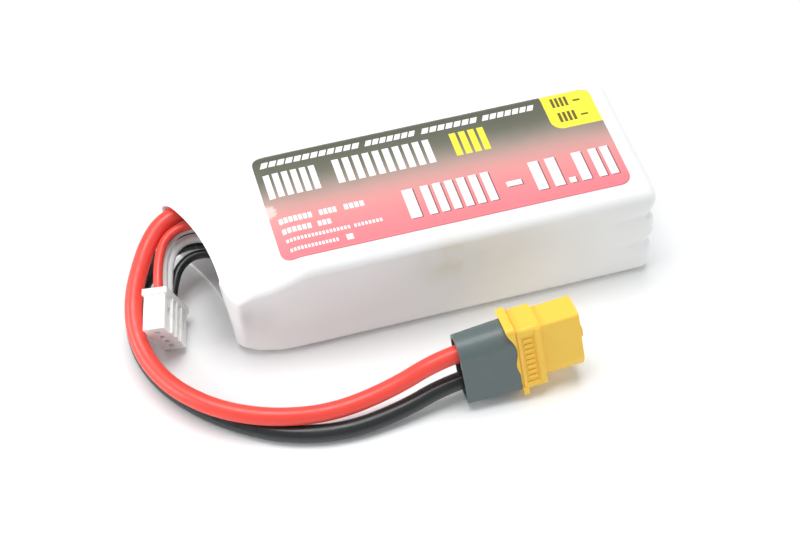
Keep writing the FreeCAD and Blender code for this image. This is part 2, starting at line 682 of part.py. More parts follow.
def balance_plug_housing():
    """White housing with a lip at the wire end, side ribs, channels and latch windows."""
    body = prism_x(rectangle(centred(0.0, PLUG_THICKNESS), (-PLUG_HEIGHT, 0.0)),
                   PLUG_CORNER, (0.0, PLUG_LENGTH))
    lip = prism_x(rectangle(centred(0.0, PLUG_THICKNESS + 2 * LIP_PROUD),
                            (-PLUG_HEIGHT - LIP_PROUD, LIP_PROUD)),
                  PLUG_CORNER, (0.0, LIP_LENGTH))
    half = PLUG_THICKNESS / 2
    ribs = []
    cuts = []
    for index in range(PIN_COUNT):
        height = pin_height(index)
        hole = Part.makeCylinder(WIRE_HOLE / 2, WIRE_HOLE_DEPTH + OVERRUN,
                                 V(-OVERRUN, 0, height), V(1, 0, 0))
        cuts += [hole, plug_channel(CAVITY, (WIRE_HOLE_DEPTH, CAVITY_END), height),
                 plug_channel(PIN_HOLE, (CAVITY_END - LAP, PLUG_LENGTH + OVERRUN), height),
                 box(LATCH_WINDOW[0:2], (0.0, half + OVERRUN), centred(height, LATCH_WINDOW[2]))]
    for index in range(PIN_COUNT - 1):
        height = pin_height(index) - PIN_PITCH / 2
        ribs.append(box((LIP_LENGTH - LAP, PLUG_LENGTH), (half - LAP, half + RIB_DEPTH),
                        centred(height, RIB_WIDTH)))
    return body.fuse([lip] + ribs).removeSplitter().cut(cuts)


def balance_contact(index):
    """Folded metal contact that takes one pin."""
    u_range = (WIRE_HOLE_DEPTH, WIRE_HOLE_DEPTH + CONTACT_LENGTH)
    body = plug_channel(CONTACT_SIZE, u_range, pin_height(index))
    bore = plug_channel(CONTACT_BORE, (u_range[0] + CONTACT_CRIMP, u_range[1] + OVERRUN), pin_height(index))
    return body.cut(bore)


def main():
    os.makedirs("parts", exist_ok=True)
    export(shrink_sleeve(), "shrink_sleeve")
    export(top_label(), "top_label")
    poles = [(i, side) for i in range(CELL_COUNT) for side in (-1, 1)]
    for i in range(CELL_COUNT):
        number = str(i + 1)
        positive_side = -1 if i % 2 == 0 else 1
        export(cell_pouch(i), "cell_pouch_" + number)
        export(electrode_stack(i), "electrode_stack_" + number)
        export(tab(i, positive_side), "positive_tab_" + number)
        export(tab(i, -positive_side), "negative_tab_" + number)
    for i in range(CELL_COUNT - 1):
        export(adhesive_pad(i), "cell_adhesive_pad_" + str(i + 1))
    export(group([tab_seal(i, side) for i, side in poles]), "tab_seal_films")
    export(group([tape_band(x) for x in BAND_CENTRES_X]), "stack_tape_bands")
    export(slotted_plate(BOARD_X, SLOT_MARGIN), "terminal_board")
    export(slotted_plate(CARD_X, 2 * SLOT_MARGIN), "terminal_card")
    export(terminal_foam(), "terminal_foam")
    export(box(END_PAD_X, (-END_PAD_Y, END_PAD_Y), END_PAD_Z), "end_foam_pad")
    export(group([tab_solder(i, side) for i, side in poles]), "tab_solder_joints")
    lead_solder = []
    for route, name in ((ROUTE_POSITIVE, "positive"), (ROUTE_NEGATIVE, "negative")):
        tube = cord_tube(route, LEAD_DIAMETER, name)
        lead_solder.append(solder_cone(route[0], LEAD_DIAMETER).cut(tube))
        export(tube, "main_lead_" + name)
    export(group(lead_solder), "lead_solder_joints")
    wire_solder = []
    for i, route in enumerate(BALANCE_ROUTES):
        number = str(i + 1)
        tube = cord_tube(route, WIRE_DIAMETER, "balance " + number)
        wire_solder.append(balance_solder(route).cut(tube))
        export(tube, "balance_wire_" + number)
        export(in_plug_place(balance_contact(i)), "balance_contact_" + number)
    export(group(wire_solder), "balance_solder_joints")
    export(in_plug_place(balance_plug_housing()), "balance_plug_housing")
    for name, height in zip(("negative", "positive"), POLE_HEIGHTS):
        export(in_connector_place(socket(height)), name + "_socket")
        export(in_connector_place(lead_strands(height)), name + "_lead_strands")
    solder = group([cup_solder(height) for height in POLE_HEIGHTS])
    export(in_connector_place(solder), "socket_solder")
    export(in_connector_place(main_connector_housing()), "main_connector_housing")
    export(in_connector_place(connector_rear_cap()), "connector_rear_cap")


main()
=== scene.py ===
import json
import math

import bpy
import numpy as np
from mathutils import Matrix, Vector, noise
from mathutils.bvhtree import BVHTree


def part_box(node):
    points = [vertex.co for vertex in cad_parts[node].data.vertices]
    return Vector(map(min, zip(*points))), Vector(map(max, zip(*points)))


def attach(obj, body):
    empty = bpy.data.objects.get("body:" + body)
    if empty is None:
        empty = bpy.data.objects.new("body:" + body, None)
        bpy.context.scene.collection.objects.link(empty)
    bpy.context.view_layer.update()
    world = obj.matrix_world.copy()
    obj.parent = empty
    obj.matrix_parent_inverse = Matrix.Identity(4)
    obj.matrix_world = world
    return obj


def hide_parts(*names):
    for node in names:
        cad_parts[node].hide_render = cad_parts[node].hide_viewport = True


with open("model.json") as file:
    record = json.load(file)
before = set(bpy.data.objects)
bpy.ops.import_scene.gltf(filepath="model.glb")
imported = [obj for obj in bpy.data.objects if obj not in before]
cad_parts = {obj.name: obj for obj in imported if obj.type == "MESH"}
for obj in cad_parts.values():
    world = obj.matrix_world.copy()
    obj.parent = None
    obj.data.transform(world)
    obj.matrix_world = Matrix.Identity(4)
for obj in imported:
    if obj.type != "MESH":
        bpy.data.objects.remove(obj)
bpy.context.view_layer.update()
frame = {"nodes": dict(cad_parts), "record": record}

# A three-cell lithium polymer pack in a white shrink sleeve. Metres: +X away from the leads, +Y back, +Z up.
MM = 0.001

# ------------------------------------------------------------------ camera
CAMERA_TARGET = Vector((-0.00388, -0.00887, 0.010))
CAMERA_AZIMUTH = -16.23
CAMERA_ELEVATION = 50.59
CAMERA_DISTANCE = 0.41353
CAMERA_ROLL = -0.19
CAMERA_LENS = 88.05


def make_camera():
    """Camera at its viewing angle, with no shift and no depth of field."""
    azimuth = math.radians(CAMERA_AZIMUTH)
    elevation = math.radians(CAMERA_ELEVATION)
    back = Vector((math.sin(azimuth) * math.cos(elevation),
                   -math.cos(azimuth) * math.cos(elevation), math.sin(elevation)))
    data = bpy.data.cameras.new("camera")
    data.lens = CAMERA_LENS
    camera = bpy.data.objects.new("camera", data)
    bpy.context.scene.collection.objects.link(camera)
    camera.location = CAMERA_TARGET + back * CAMERA_DISTANCE
    roll = Matrix.Rotation(math.radians(CAMERA_ROLL), 4, "Z")
    turned = (-back).to_track_quat("-Z", "Y").to_matrix().to_4x4() @ roll
    camera.rotation_euler = turned.to_euler()
    bpy.context.scene.camera = camera


make_camera()

# ------------------------------------------------------------------ cords
LEAD_DIAMETER = 3.8 * MM
WIRE_DIAMETER = 2.0 * MM
ROUTE_POSITIVE = [
    (-.0334, .0134, .0170), (-.0398, .0135, .0168), (-.0458, .0136, .0165), (-.0504, .0123, .0157),
    (-.0539, .0090, .0142), (-.0566, .0050, .0123), (-.0589, .0008, .0105), (-.0605, -.0042, .0086),
    (-.0609, -.0102, .0070), (-.0594, -.0172, .0060), (-.0554, -.0246, .0059), (-.0484, -.0314, .0059),
    (-.0386, -.0362, .0057), (-.0266, -.0378, .0049), (-.0140, -.0369, .0070), (-.0034, -.0358, .0118),
    (.00366, -.03571, .01259)]
ROUTE_NEGATIVE = [
    (-.0334, .0054, .0089), (-.0380, .0094, .0088), (-.0438, .0120, .0086), (-.0494, .0116, .0078),
    (-.0542, .0088, .0062), (-.0581, .0044, .0045), (-.0604, -.0014, .0031), (-.0608, -.0088, .0022),
    (-.0587, -.0168, .00195), (-.0542, -.0244, .00195), (-.0470, -.0318, .00195), (-.0370, -.0382, .00195),
    (-.0248, -.0410, .00195), (-.0126, -.0396, .0026), (-.0027, -.0375, .00485), (.00436, -.03738, .00562)]
BALANCE_ROUTES = [
    [(-.0332, .0062, .0161), (-.0378, .0090, .0160), (-.0428, .0101, .0158), (-.0474, .0101, .0155),
     (-.0507, .0080, .0151), (-.0526, .0042, .0144), (-.0537, .0006, .0135), (-.0544, -.0028, .0125),
     (-.0552, -.0061, .0115)],
    [(-.0332, .0018, .0143), (-.0365, .0069, .0139), (-.0409, .0106, .0134), (-.0458, .0118, .0131),
     (-.0494, .0098, .0129), (-.0515, .0058, .0123), (-.0527, .0015, .0114), (-.0535, -.0024, .0102),
     (-.0543, -.0057, .0092)],
    [(-.0333, -.0040, .0148), (-.0356, .0020, .0134), (-.0395, .0075, .0121), (-.0443, .0103, .0115),
     (-.0483, .0093, .0109), (-.0506, .0056, .0102), (-.0517, .0015, .0091), (-.0526, -.0020, .0079),
     (-.0535, -.0052, .0069)],
    [(-.0336, -.0079, .0094), (-.0347, -.0024, .0099), (-.0373, .0030, .0099), (-.0410, .0066, .0094),
     (-.0452, .0077, .0087), (-.0486, .0059, .0078), (-.0505, .0024, .0068), (-.0517, -.0012, .0057),
     (-.0527, -.0047, .0046)],
]


def cord_curve(name, route, diameter):
    """One smooth NURBS spline with the route's points as its control points.

    The width is carried by the points' radius, so that the curve's own box stays true.
    """
    data = bpy.data.curves.new(name, "CURVE")
    data.dimensions = "3D"
    data.resolution_u = 16
    data.bevel_depth = 1.0
    data.bevel_resolution = 8
    data.use_fill_caps = True
    spline = data.splines.new("NURBS")
    spline.points.add(len(route) - 1)
    for point, place in zip(spline.points, route):
        point.co = (*place, 1.0)
        point.radius = diameter / 2
    spline.order_u = 3
    spline.use_endpoint_u = True
    curve = bpy.data.objects.new(name, data)
    bpy.context.scene.collection.objects.link(curve)
    return curve


def make_cord(node, route, diameter):
    """A free lead in place of its CAD tube."""
    curve = cord_curve(node + "_cord", route, diameter)
    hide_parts(node)
    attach(curve, "root")
    return curve


# ------------------------------------------------------------------ materials
def add_node(tree, kind, **settings):
    """A node of one kind, with its settings."""
    made = tree.nodes.new(kind)
    for key, value in settings.items():
        setattr(made, key, value)
    return made


def feed(tree, socket, value):
    """Links a socket, or sets a plain value."""
    if isinstance(value, bpy.types.NodeSocket):
        tree.links.new(value, socket)
    else:
        socket.default_value = value


def arithmetic(tree, operation, a, b=0.0, c=0.0):
    """One step of arithmetic on numbers or sockets."""
    made = add_node(tree, "ShaderNodeMath", operation=operation)
    for socket, value in zip(made.inputs, (a, b, c)):
        feed(tree, socket, value)
    return made.outputs[0]


def spread(tree, value, low, high, to_low, to_high):
    """A value's range brought to another range, smoothly and clamped."""
    made = add_node(tree, "ShaderNodeMapRange", interpolation_type="SMOOTHSTEP")
    for socket, item in zip(made.inputs, (value, low, high, to_low, to_high)):
        feed(tree, socket, item)
    return made.outputs[0]


def blend_colour(tree, share, first, second):
    """Colour between two colours."""
    made = add_node(tree, "ShaderNodeMix", data_type="RGBA")
    feed(tree, made.inputs[0], share)
    feed(tree, made.inputs[6], first)
    feed(tree, made.inputs[7], second)
    return made.outputs[2]


def millimetres(tree):
    """The piece's own coordinates, in millimetres."""
    place = add_node(tree, "ShaderNodeTexCoord").outputs["Object"]
    scale = add_node(tree, "ShaderNodeVectorMath", operation="SCALE")
    feed(tree, scale.inputs[0], place)
    feed(tree, scale.inputs["Scale"], 1000.0)
    return scale.outputs[0]


def speckle(tree, place, grain, detail=3.0, stretch=(1.0, 1.0, 1.0)):
    """Noise whose patches are about grain millimetres wide."""
    mapping = add_node(tree, "ShaderNodeMapping")
    feed(tree, mapping.inputs["Vector"], place)
    feed(tree, mapping.inputs["Scale"], stretch)
    made = add_node(tree, "ShaderNodeTexNoise")
    feed(tree, made.inputs["Vector"], mapping.outputs[0])
    made.inputs["Scale"].default_value = 1.0 / grain
    made.inputs["Detail"].default_value = detail
    return made.outputs["Fac"]


def near(tree, place, centre, reach):
    """1 at a point, falling to 0 at reach millimetres from it."""
    away = add_node(tree, "ShaderNodeVectorMath", operation="DISTANCE")
    feed(tree, away.inputs[0], place)
    feed(tree, away.inputs[1], centre)
    return spread(tree, away.outputs["Value"], 0.0, reach, 1.0, 0.0)


def relief(tree, layers):
    """Bump from layers of (height, depth in millimetres)."""
    normal = None
    for height, depth in layers:
        bump = add_node(tree, "ShaderNodeBump")
        bump.inputs["Distance"].default_value = depth * MM
        feed(tree, bump.inputs["Height"], height)
        if normal is not None:
            feed(tree, bump.inputs["Normal"], normal)
        normal = bump.outputs[0]
    return normal


def new_material(name):
    """An empty material: its tree, its shader and its coordinates."""
    material = bpy.data.materials.new(name)
    material.use_nodes = True
    tree = material.node_tree
    shader = tree.nodes["Principled BSDF"]
    return material, tree, shader, millimetres(tree)


def moulded(name, colour, roughness, tint=0.06, patch=3.0, grain=0.12, grain_depth=0.006, ripple_depth=0.0,
            ripple=2.0, stretch=(1.0, 1.0, 1.0), metallic=0.0, specular=0.5, coat=0.0, scatter=0.0):
    """Plastic, rubber or metal: colour and roughness that drift, fine grain and a soft ripple."""
    material, tree, shader, place = new_material(name)
    drift = speckle(tree, place, patch, stretch=stretch)
    dark = tuple(c * (1.0 - tint) for c in colour) + (1.0,)
    light = tuple(min(1.0, c * (1.0 + tint)) for c in colour) + (1.0,)
    feed(tree, shader.inputs["Base Color"], blend_colour(tree, drift, dark, light))
    wear = speckle(tree, place, patch * 0.4, detail=6.0, stretch=stretch)
    feed(tree, shader.inputs["Roughness"],
         spread(tree, wear, 0.3, 0.7, roughness * 0.82, min(1.0, roughness * 1.2)))
    layers = [(speckle(tree, place, grain, detail=2.0, stretch=stretch), grain_depth)]
    if ripple_depth:
        layers.append((speckle(tree, place, ripple, detail=1.0, stretch=stretch), ripple_depth))
    feed(tree, shader.inputs["Normal"], relief(tree, layers))
    shader.inputs["Metallic"].default_value = metallic
    shader.inputs["Specular IOR Level"].default_value = specular
    shader.inputs["Coat Weight"].default_value = coat
    shader.inputs["Coat Roughness"].default_value = 0.12
    if scatter:
        shader.inputs["Subsurface Weight"].default_value = scatter
        shader.inputs["Subsurface Radius"].default_value = colour
        shader.inputs["Subsurface Scale"].default_value = 1.2 * MM
    return material


def shrink_film():
    """Glossy white film: soft ripples, handling smudges, a faint warm stain and painted shade in the
    front-left dent.
    """
    material, tree, shader, place = new_material("shrink_film")
    clean = (0.92, 0.925, 0.92, 1.0)
    smudge = spread(tree, speckle(tree, place, 12.0, detail=0.0), 0.20, 0.90, 0.0, 0.14)
    colour = blend_colour(tree, smudge, clean, (0.74, 0.75, 0.75, 1.0))
    stain = arithmetic(tree, "MULTIPLY", near(tree, place, (5.0, -16.5, 20.0), 11.0),
                       spread(tree, speckle(tree, place, 5.0), 0.35, 0.65, 0.2, 0.8))
    colour = blend_colour(tree, stain, colour, (0.82, 0.77, 0.64, 1.0))
    # painted shade: the film colour is darkened to grey in and around the dent at the front-left corner
    dent_shade = near(tree, place, (-37.0, -16.0, 13.5), 7.0)
    colour = blend_colour(tree, arithmetic(tree, "MULTIPLY", dent_shade, 0.45), colour, (0.62, 0.62, 0.62, 1.0))
    feed(tree, shader.inputs["Base Color"], colour)
    feed(tree, shader.inputs["Roughness"],
         spread(tree, speckle(tree, place, 14.0, detail=0.0), 0.2, 0.8, 0.28, 0.32))
    feed(tree, shader.inputs["Normal"], relief(tree, [
        (speckle(tree, place, 9.0, detail=0.0, stretch=(0.4, 1.0, 1.3)), 0.08)]))
    shader.inputs["Specular IOR Level"].default_value = 0.55
    shader.inputs["Subsurface Weight"].default_value = 0.12
    shader.inputs["Subsurface Radius"].default_value = (1.0, 0.95, 0.9)
    shader.inputs["Subsurface Scale"].default_value = 0.8 * MM
    return material


# Print on the label, in millimetres: rows of plain slanted blocks.
# (x of the first block, pitch, count, share of the pitch filled, y of the row's middle, height, slant)
WHITE_ROWS = [
    (-27.9, 1.81, 12, 0.80, 13.1, 1.5, 0.45),
    (-5.1, 1.60, 7, 0.80, 13.1, 1.5, 0.45),
    (7.4, 1.80, 7, 0.80, 13.1, 1.5, 0.45),
    (21.0, 1.68, 7, 0.80, 13.1, 1.5, 0.45),
    (-28.2, 1.95, 6, 0.68, 7.0, 6.7, 0.0),
    (-13.3, 2.20, 10, 0.66, 7.2, 6.7, 0.0),
    (-27.9, 1.02, 7, 0.78, -2.8, 1.5, 0.0),
    (-19.4, 0.96, 4, 0.78, -2.8, 1.5, 0.0),
    (-14.1, 1.12, 4, 0.78, -2.8, 1.5, 0.0),
    (-27.9, 1.06, 6, 0.78, -5.6, 1.4, 0.0),
    (-20.4, 1.00, 3, 0.78, -5.6, 1.4, 0.0),
    (-27.7, 0.76, 18, 0.66, -8.2, 0.9, 0.0),
    (-13.4, 0.78, 8, 0.66, -8.2, 0.9, 0.0),
    (-27.5, 0.74, 14, 0.66, -10.8, 0.9, 0.0),
    (-15.7, 1.50, 1, 0.95, -10.8, 1.5, 0.0),
]
FIGURE_ROWS = [
    (-1.6, 2.4, 1, 0.98, -5.8, 8.0, 0.0),
    (2.4, 2.62, 6, 0.66, -5.8, 8.0, 0.0),
    (20.0, 3.4, 1, 0.98, -6.4, 1.4, 0.0),
    (26.0, 3.7, 2, 0.60, -5.8, 8.0, 0.0),
    (33.0, 1.5, 1, 0.98, -9.0, 1.5, 0.0),
    (35.6, 2.2, 1, 0.98, -5.8, 8.0, 0.0),
    (39.4, 2.6, 2, 0.68, -5.8, 8.0, 0.0),
]
YELLOW_ROWS = [(12.6, 2.05, 4, 0.70, 7.5, 6.5, 0.0)]
TAB_ROWS = [
    (36.5, 1.0, 4, 0.62, 13.0, 2.7, 0.0),
    (36.8, 1.05, 4, 0.62, 8.6, 2.8, 0.0),
    (41.3, 1.7, 1, 0.95, 12.7, 0.5, 0.0),
    (41.7, 1.7, 1, 0.95, 8.3, 0.5, 0.0),
]


def printed(tree, x, y, rows):
    """1 where any of the rows of blocks is printed."""
    mask = 0.0
    for first, pitch, count, filled, middle, height, slant in rows:
        lean = arithmetic(tree, "MULTIPLY", arithmetic(tree, "SUBTRACT", y, middle), slant)
        along = arithmetic(tree, "SUBTRACT", arithmetic(tree, "SUBTRACT", x, lean), first)
        turns = arithmetic(tree, "DIVIDE", along, pitch)
        inside = arithmetic(tree, "COMPARE", turns, count / 2, count / 2)
        block = arithmetic(tree, "LESS_THAN", arithmetic(tree, "FRACT", turns), filled)
        row = arithmetic(tree, "COMPARE", y, middle, height / 2)
        both = arithmetic(tree, "MULTIPLY", arithmetic(tree, "MULTIPLY", inside, block), row)
        mask = arithmetic(tree, "MAXIMUM", mask, both)
    return mask


def tab_mask(tree, x, y):
    """1 on the corner tab, whose inner corner is rounded."""
    left, low, corner = 34.6, 5.4, 2.6
    to_left = arithmetic(tree, "MAXIMUM", arithmetic(tree, "SUBTRACT", left + corner, x), 0.0)
    to_low = arithmetic(tree, "MAXIMUM", arithmetic(tree, "SUBTRACT", low + corner, y), 0.0)
    away = arithmetic(tree, "SQRT", arithmetic(tree, "ADD", arithmetic(tree, "POWER", to_left, 2.0),
                                               arithmetic(tree, "POWER", to_low, 2.0)))
    return arithmetic(tree, "LESS_THAN", away, corner)


def label_print():
    """Printed film: dark at the back fading through dusty pink to coral, with blocks of print."""
    material, tree, shader, place = new_material("label")
    axes = add_node(tree, "ShaderNodeSeparateXYZ")
    feed(tree, axes.inputs[0], place)
    x, y = axes.outputs[0], axes.outputs[1]
    wander = arithmetic(tree, "MULTIPLY_ADD", speckle(tree, place, 14.0, detail=2.0), 0.08, -0.04)
    ramp = add_node(tree, "ShaderNodeValToRGB")
    across = arithmetic(tree, "MULTIPLY_ADD", y, 1 / 29, 13.5 / 29)
    feed(tree, ramp.inputs[0], arithmetic(tree, "ADD", across, wander))
    ramp.color_ramp.interpolation = "B_SPLINE"
    stops = [(0.0, (0.88, 0.20, 0.24)), (0.29, (0.86, 0.28, 0.29)), (0.45, (0.70, 0.33, 0.31)),
             (0.55, (0.50, 0.33, 0.29)), (0.66, (0.27, 0.24, 0.20)), (0.78, (0.13, 0.135, 0.095)),
             (1.0, (0.105, 0.11, 0.08))]
    elements = ramp.color_ramp.elements
    while len(elements) < len(stops):
        elements.new(0.5)
    for element, (where, colour) in zip(elements, stops):
        element.position = where
        element.color = (*colour, 1.0)
    colour = ramp.outputs[0]
    shadow_x = arithmetic(tree, "SUBTRACT", x, 0.28)
    shadow_y = arithmetic(tree, "ADD", y, 0.25)
    colour = blend_colour(tree, printed(tree, shadow_x, shadow_y, FIGURE_ROWS), colour,
                          (0.30, 0.12, 0.12, 1.0))
    ink = spread(tree, speckle(tree, place, 0.35, detail=4.0), 0.28, 0.36, 0.90, 1.0)
    white = printed(tree, x, y, WHITE_ROWS + FIGURE_ROWS)
    colour = blend_colour(tree, arithmetic(tree, "MULTIPLY", white, ink), colour, (0.90, 0.89, 0.88, 1.0))
    colour = blend_colour(tree, printed(tree, x, y, YELLOW_ROWS), colour, (0.90, 0.82, 0.06, 1.0))
    colour = blend_colour(tree, tab_mask(tree, x, y), colour, (0.92, 0.84, 0.06, 1.0))
    colour = blend_colour(tree, printed(tree, x, y, TAB_ROWS), colour, (0.16, 0.12, 0.03, 1.0))
    edge = near(tree, place, (-29.4, 0.6, 25.3), 3.4)
    scuff = spread(tree, arithmetic(tree, "MULTIPLY", edge, speckle(tree, place, 0.9, detail=8.0)),
                   0.16, 0.42, 0.0, 0.6)
    colour = blend_colour(tree, scuff, colour, (0.86, 0.78, 0.74, 1.0))
    feed(tree, shader.inputs["Base Color"], colour)
    feed(tree, shader.inputs["Roughness"],
         spread(tree, speckle(tree, place, 3.0, detail=5.0), 0.3, 0.7, 0.34, 0.48))
    feed(tree, shader.inputs["Normal"], relief(tree, [
        (speckle(tree, place, 7.0, detail=2.0), 0.03), (speckle(tree, place, 0.3, detail=2.0), 0.004)]))
    shader.inputs["Specular IOR Level"].default_value = 0.4
    return material


ALONG_X = (0.25, 1.0, 1.0)
MATERIALS = {
    "shrink_film": shrink_film(),
    "label": label_print(),
    "pouch_foil": moulded("pouch_foil", (0.62, 0.63, 0.66), 0.34, metallic=0.9, ripple_depth=0.05),
    "electrode": moulded("electrode", (0.05, 0.05, 0.055), 0.8, stretch=ALONG_X),
    "tab_aluminium": moulded("tab_aluminium", (0.78, 0.79, 0.80), 0.28, metallic=1.0, stretch=ALONG_X),
    "tab_nickel": moulded("tab_nickel", (0.66, 0.63, 0.58), 0.26, metallic=1.0, stretch=ALONG_X),
    "seal_film": moulded("seal_film", (0.72, 0.66, 0.50), 0.4, scatter=0.3),
    "adhesive": moulded("adhesive", (0.82, 0.82, 0.78), 0.7, grain=0.3, grain_depth=0.03),
    "amber_tape": moulded("amber_tape", (0.55, 0.26, 0.03), 0.22, ripple_depth=0.02, coat=0.4),
    "circuit_board": moulded("circuit_board", (0.02, 0.12, 0.05), 0.35, coat=0.5, ripple_depth=0.01),
    "card": moulded("card", (0.42, 0.48, 0.40), 0.8, grain=0.2, grain_depth=0.02),
    "foam": moulded("foam", (0.62, 0.62, 0.60), 0.92, grain=0.25, grain_depth=0.08),
    "solder": moulded("solder", (0.72, 0.72, 0.73), 0.18, metallic=1.0, ripple_depth=0.06, ripple=0.8),
    "lead_red": moulded("lead_red", (0.90, 0.075, 0.055), 0.34, tint=0.02, patch=8.0, ripple_depth=0.012,
                        ripple=4.0, scatter=0.10),
    "lead_black": moulded("lead_black", (0.022, 0.026, 0.027), 0.30, tint=0.08, patch=8.0, ripple_depth=0.012,
                          ripple=4.0),
    "wire_white": moulded("wire_white", (0.96, 0.96, 0.95), 0.34, ripple_depth=0.01, scatter=0.1),
    "copper": moulded("copper", (0.72, 0.38, 0.22), 0.3, metallic=1.0, grain=0.08, grain_depth=0.03),
    "gold": moulded("gold", (0.86, 0.60, 0.24), 0.2, metallic=1.0, grain=0.2, grain_depth=0.003),
    "connector_yellow": moulded("connector_yellow", (1.0, 0.62, 0.07), 0.42, tint=0.02, ripple_depth=0.015,
                                scatter=0.12),
    "cap_grey": moulded("cap_grey", (0.115, 0.150, 0.150), 0.40, tint=0.05, ripple_depth=0.02, patch=2.0),
    "plug_white": moulded("plug_white", (0.96, 0.96, 0.93), 0.38, scatter=0.25, ripple_depth=0.01),
    "contact_tin": moulded("contact_tin", (0.66, 0.66, 0.64), 0.25, metallic=1.0, stretch=ALONG_X),
}


# ------------------------------------------------------------------ mesh helpers
def mesh_piece(name, vertices, faces, material_slot):
    """A new smooth piece on the root body, with the finish of one slot."""
    data = bpy.data.meshes.new(name)
    data.from_pydata([tuple(v) for v in vertices], [], faces)
    data.validate()
    data.shade_smooth()
    data.materials.append(MATERIALS[material_slot])
    piece = bpy.data.objects.new(name, data)
    bpy.context.scene.collection.objects.link(piece)
    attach(piece, "root")
    return piece


def ring_faces(rows, columns):
    """Quads between closed rings of points."""
    faces = []
    for row in range(rows - 1):
        for column in range(columns):
            after = (column + 1) % columns
            faces.append((row * columns + column, (row + 1) * columns + column,
                          (row + 1) * columns + after, row * columns + after))
    return faces


def smoothstep(value, low, high):
    """0 below low, 1 above high, smooth between."""
    share = np.clip((value - low) / (high - low), 0.0, 1.0)
    return share * share * (3 - 2 * share)


def wander(points, size, seed):
    """Smooth noise from -1 to 1 at each point; size is in metres."""
    offset = Vector((seed, 2.0 * seed, 3.0 * seed))
    return np.array([noise.noise(Vector(p) / size + offset) for p in points])


# ------------------------------------------------------------------ shrink sleeve
SLEEVE_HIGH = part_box("shrink_sleeve")[1]
HALF_WIDTH = SLEEVE_HIGH.y
HEIGHT = SLEEVE_HIGH.z
FAR_END = SLEEVE_HIGH.x
FILM = 0.35 * MM
EDGE_STEPS = 34
ARC_STEPS = 10
LONGEST_REACH = 0.45  # of the shorter edge beside a corner
STATION_STEP = 0.6 * MM
END_ROUND = 1.8 * MM
LOBE_DEPTH = 2.3 * MM
LOBE_ROUND = 3.4 * MM
LOBE_SIDE_DIP = 0.7 * MM
LOBE_REACH = (0.4 * MM, 0.6 * MM, 0.0)
LOBE_VALLEYS = (9.9 * MM, 18.4 * MM)
LOBE_MIDDLES = (HEIGHT / 6, HEIGHT / 2, HEIGHT * 5 / 6)
END_HOLE = (9.0 * MM, 6.5 * MM)
END_RINGS = 26
DENT_MIDDLE = np.array([-37.5, -15.6, 13.0]) * MM
DENT_SIZE = np.array([2.6, 4.0, 4.6]) * MM
DENT_DEPTH = 0.4 * MM


def slanted(x0, slope_y, slope_z, corners):
    """Corners (y, z), in millimetres, on the plane x = x0 + y * slope_y + z * slope_z."""
    return [((x0 + y * slope_y + z * slope_z) * MM, y * MM, z * MM) for y, z in corners]


def full_section(x):
    """The four corners of the full rectangle: front bottom, back bottom, back top, front top."""
    return [(x, -HALF_WIDTH, 0.0), (x, HALF_WIDTH, 0.0), (x, HALF_WIDTH, HEIGHT), (x, -HALF_WIDTH, HEIGHT)]


# Key sections from the far end to past the mouth: corners, and the radius at each in millimetres.
SLEEVE_KEYS = [
    (full_section(FAR_END - END_ROUND), (3.0, 3.0, 3.0, 2.2)),
    (full_section(-26.4 * MM), (3.0, 3.0, 3.0, 2.2)),
    (slanted(-31.4, 0.0, -0.03, [(-16.9, 0.0), (17.0, 0.0), (17.0, 25.1), (-16.8, 22.6)]),
     (3.0, 3.0, 3.0, 2.2)),
    (slanted(-36.0, 0.0, -0.06, [(-16.0, 0.0), (16.9, 0.0), (16.7, 24.2), (-15.7, 20.5)]),
     (3.4, 3.0, 3.2, 2.0)),
    (slanted(-41.0, -0.10, -0.05, [(-14.6, 1.4), (15.9, 0.0), (16.3, 22.0), (-15.0, 17.2)]),
     (3.0, 2.4, 3.6, 1.0)),
    (slanted(-43.8, -0.27, -0.09, [(-12.5, 0.3), (15.4, 0.0), (15.8, 19.6), (6.0, 19.6)]),
     (1.0, 2.0, 4.6, 1.6)),
]
MOUTH_CURVE_RADIUS = 41.1 * MM
MOUTH_CURVE_CENTRE = (-81.0 * MM, -7.9 * MM)
MOUTH_CURVE_LEAN = -0.13
CREASE_SMOOTHING = 3
TRIM_START = -34.0 * MM


def rounded_corner(before, corner, after, radius):
    """Where a corner's arc starts and ends, and the weight of its middle point."""
    back = before - corner
    ahead = after - corner
    back_length = np.linalg.norm(back)
    ahead_length = np.linalg.norm(ahead)
    back_unit = back / back_length
    ahead_unit = ahead / ahead_length
    half = math.acos(float(np.clip(back_unit @ ahead_unit, -1, 1))) / 2
    reach = min(radius / math.tan(half), LONGEST_REACH * min(back_length, ahead_length))
    return corner + back_unit * reach, corner + ahead_unit * reach, math.sin(half)


def outline(corners, radii):
    """Points round four corners in space, each corner a conic arc."""
    count = len(corners)
    arcs = [rounded_corner(corners[i - 1], corners[i], corners[(i + 1) % count], radii[i])
            for i in range(count)]
    points = []
    for i, (start, end, weight) in enumerate(arcs):
        for step in range(ARC_STEPS + 1):
            t = step / ARC_STEPS
            shares = np.array([(1 - t) ** 2, 2 * weight * t * (1 - t), t ** 2])
            points.append(shares @ np.array([start, corners[i], end]) / shares.sum())
        next_start = arcs[(i + 1) % count][0]
        for step in range(1, EDGE_STEPS):
            points.append(end + (next_start - end) * step / EDGE_STEPS)
    return np.array(points)


